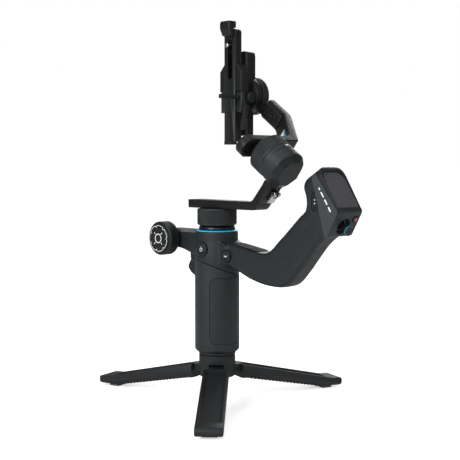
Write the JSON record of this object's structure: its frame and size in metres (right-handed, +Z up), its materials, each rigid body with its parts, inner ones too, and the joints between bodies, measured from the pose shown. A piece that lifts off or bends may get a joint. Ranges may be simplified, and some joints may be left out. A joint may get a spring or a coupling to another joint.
{
  "type": "camera gimbal",
  "caption": "Handheld three-axis camera stabiliser: round grip with a sling arm and tilted control head, pan, roll and tilt motor arms, quick-release plate and folding mini tripod.",
  "frame": {"origin": "under the middle of the whole object's bounding box, at the level of the tripod feet's undersides; the grip's axis is 15.0 mm to its left and 13.2 mm in front of it", "axes": "+Z up along the grip, +Y forward towards the trigger and the camera's lens side, +X to the right, the side that the tilt motor is on"},
  "size_m": [0.2976, 0.3604, 0.4468],
  "materials": {
    "shell": "fine-textured satin, charcoal with a slight blue-green tint",
    "shell_dark": "fine-textured matt",
    "button": "smooth satin",
    "arm": "satin anodised",
    "motor": "satin, finely ribbed drum",
    "steel": "bright",
    "copper": "wound wire",
    "rubber": "matt ridged",
    "label": "satin",
    "screen": "glossy",
    "accent": "satin",
    "red": "satin",
    "board": "solder mask",
    "cell": "shrink wrap",
    "tripod": "fine-textured matt"
  },
  "bodies": {
    "handle": {"grip_shell": "shell", "battery_cover": "shell", "battery_pack": "cell", "tripod_socket": "steel", "sling_body": "shell", "sling_cover": "shell_dark", "accessory_pad": "rubber", "main_board": "board", "trigger_pin": "steel", "head_shell": "shell", "head_display": "screen", "head_label_left": "label", "head_label_right": "label", "accent_ring": "accent", "neck_ring": "steel", "pan_stator": "copper"},
    "wheel": {"control_wheel": "shell_dark", "wheel_cap": "shell"},
    "trigger": {"trigger": "shell_dark"},
    "mode_button": {"mode_button": "button"},
    "menu_button": {"menu_button": "button"},
    "record_button": {"record_button": "red"},
    "photo_button": {"photo_button": "steel"},
    "head_rocker": {"head_rocker": "button"},
    "joystick_ring": {"joystick_ring": "shell_dark"},
    "joystick_knob": {"joystick_knob": "shell_dark"},
    "pan": {"pan_rotor": "motor", "pan_bracket": "arm"},
    "roll_carriage": {"riser_slider": "arm", "roll_motor_cap": "motor", "roll_trim_ring": "steel", "roll_stator": "copper"},
    "riser_lever": {"riser_lever": "steel"},
    "roll": {"roll_rotor": "motor", "roll_bracket": "arm", "bracket_accent": "accent"},
    "tilt_carriage": {"tilt_slider": "arm", "tilt_motor": "motor"},
    "side_arm_knob": {"side_arm_knob": "shell_dark"},
    "tilt": {"tilt_rotor": "motor", "tilt_bar": "arm"},
    "clamp": {"clamp_base": "arm", "clamp_lower_jaw": "motor"},
    "safety_tab": {"safety_tab": "shell_dark"},
    "clamp_knob": {"clamp_knob": "shell_dark"},
    "clamp_lever": {"clamp_lever": "shell_dark"},
    "plate": {"camera_plate": "arm", "plate_hook": "arm"},
    "camera_screw": {"camera_screw": "steel"},
    "tripod": {"tripod_hub": "tripod", "tripod_screw": "steel", "leg_pin_rear": "steel", "leg_pin_right": "steel", "leg_pin_left": "steel"},
    "leg_rear": {"leg_rear": "tripod", "foot_rear": "rubber"},
    "leg_right": {"leg_right": "tripod", "foot_right": "rubber"},
    "leg_left": {"leg_left": "tripod", "foot_left": "rubber"}
  },
  "joints": [
    {"name": "pan", "type": "hinge", "parent": "handle", "child": "pan", "pos_m": [-0.01504, 0.01318, 0.217], "axis": [0, 0, 1], "continuous": true},
    {"name": "riser_slide", "type": "slide", "parent": "pan", "child": "roll_carriage", "axis": [0, -0.6428, 0.766], "range_m": [0, 0.01]},
    {"name": "riser_lever_flip", "type": "hinge", "parent": "roll_carriage", "child": "riser_lever", "pos_m": [-0.01304, -0.07604, 0.24448], "axis": [1, 0, 0], "range_deg": [-100, 0]},
    {"name": "roll", "type": "hinge", "parent": "roll_carriage", "child": "roll", "pos_m": [-0.01504, 0.03008, 0.3605], "axis": [0, 0.809, 0.5878], "range_deg": [-165, 165], "stiffness_Nm_per_rad": 6},
    {"name": "side_arm_slide", "type": "slide", "parent": "roll", "child": "tilt_carriage", "axis": [0, 0.809, 0.5878], "range_m": [0, 0.014]},
    {"name": "side_arm_knob_turn", "type": "hinge", "parent": "tilt_carriage", "child": "side_arm_knob", "pos_m": [0.07596, -0.00714, 0.33346], "axis": [1, 0, 0], "continuous": true},
    {"name": "tilt", "type": "hinge", "parent": "tilt_carriage", "child": "tilt", "pos_m": [0.05786, 0.03008, 0.3605], "axis": [1, 0, 0], "range_deg": [-120, 100]},
    {"name": "clamp_height_slide", "type": "slide", "parent": "tilt", "child": "clamp", "axis": [0, 0, 1], "range_m": [-0.012, 0.008], "stiffness_N_per_m": 600},
    {"name": "safety_tab_slide", "type": "slide", "parent": "clamp", "child": "safety_tab", "axis": [0, 0, 1], "range_m": [0, 0.004]},
    {"name": "clamp_knob_turn", "type": "hinge", "parent": "clamp", "child": "clamp_knob", "pos_m": [0.03996, 0.01308, 0.3569], "axis": [0, 1, 0], "continuous": true},
    {"name": "clamp_lever_flip", "type": "hinge", "parent": "clamp", "child": "clamp_lever", "pos_m": [0.02966, 0.00948, 0.3453], "axis": [1, 0, 0], "range_deg": [-110, 0]},
    {"name": "plate_slide", "type": "slide", "parent": "clamp", "child": "plate", "axis": [0, 0, 1], "range_m": [-0.02, 0.02], "stiffness_N_per_m": 400},
    {"name": "camera_screw_slide", "type": "slide", "parent": "plate", "child": "camera_screw", "axis": [0, 0, 1], "range_m": [-0.036, 0.004], "stiffness_N_per_m": 8},
    {"name": "wheel_turn", "type": "hinge", "parent": "handle", "child": "wheel", "pos_m": [-0.03504, 0.08018, 0.1895], "axis": [1, 0, 0], "continuous": true},
    {"name": "trigger_pull", "type": "hinge", "parent": "handle", "child": "trigger", "pos_m": [-0.01504, 0.04418, 0.166], "axis": [1, 0, 0], "range_deg": [-8, 0]},
    {"name": "mode_press", "type": "slide", "parent": "handle", "child": "mode_button", "axis": [1, 0, 0], "range_m": [0, 0.0012]},
    {"name": "menu_press", "type": "slide", "parent": "handle", "child": "menu_button", "axis": [1, 0, 0], "range_m": [0, 0.0012]},
    {"name": "record_press", "type": "slide", "parent": "handle", "child": "record_button", "axis": [0, 0.8772, 0.4801], "range_m": [0, 0.001]},
    {"name": "photo_press", "type": "slide", "parent": "handle", "child": "photo_button", "axis": [0, 0.8772, 0.4801], "range_m": [0, 0.001]},
    {"name": "head_rocker_tilt", "type": "hinge", "parent": "handle", "child": "head_rocker", "pos_m": [-0.03304, -0.14882, 0.2395], "axis": [0, 1, 0], "range_deg": [-4, 4]},
    {"name": "joystick_pitch", "type": "hinge", "parent": "handle", "child": "joystick_ring", "pos_m": [-0.01504, -0.16687, 0.21606], "axis": [1, 0, 0], "range_deg": [-12, 12]},
    {"name": "joystick_yaw", "type": "hinge", "parent": "joystick_ring", "child": "joystick_knob", "pos_m": [-0.01504, -0.16687, 0.21606], "axis": [0, -0.4801, 0.8772], "range_deg": [-12, 12]},
    {"name": "tripod_turn", "type": "hinge", "parent": "handle", "child": "tripod", "pos_m": [-0.01504, 0.01318, 0.0445], "axis": [0, 0, 1], "continuous": true},
    {"name": "leg_rear_fold", "type": "hinge", "parent": "tripod", "child": "leg_rear", "pos_m": [-0.02767, 0.0018, 0.0385], "axis": [0.6691, -0.7431, 0], "range_deg": [0, 76.5]},
    {"name": "leg_right_fold", "type": "hinge", "parent": "tripod", "child": "leg_right", "pos_m": [0.00113, 0.00792, 0.0385], "axis": [0.309, 0.9511, 0], "range_deg": [0, 76.5]},
    {"name": "leg_left_fold", "type": "hinge", "parent": "tripod", "child": "leg_left", "pos_m": [-0.01857, 0.02981, 0.0385], "axis": [-0.9781, -0.2079, 0], "range_deg": [0, 76.5]}
  ]
}
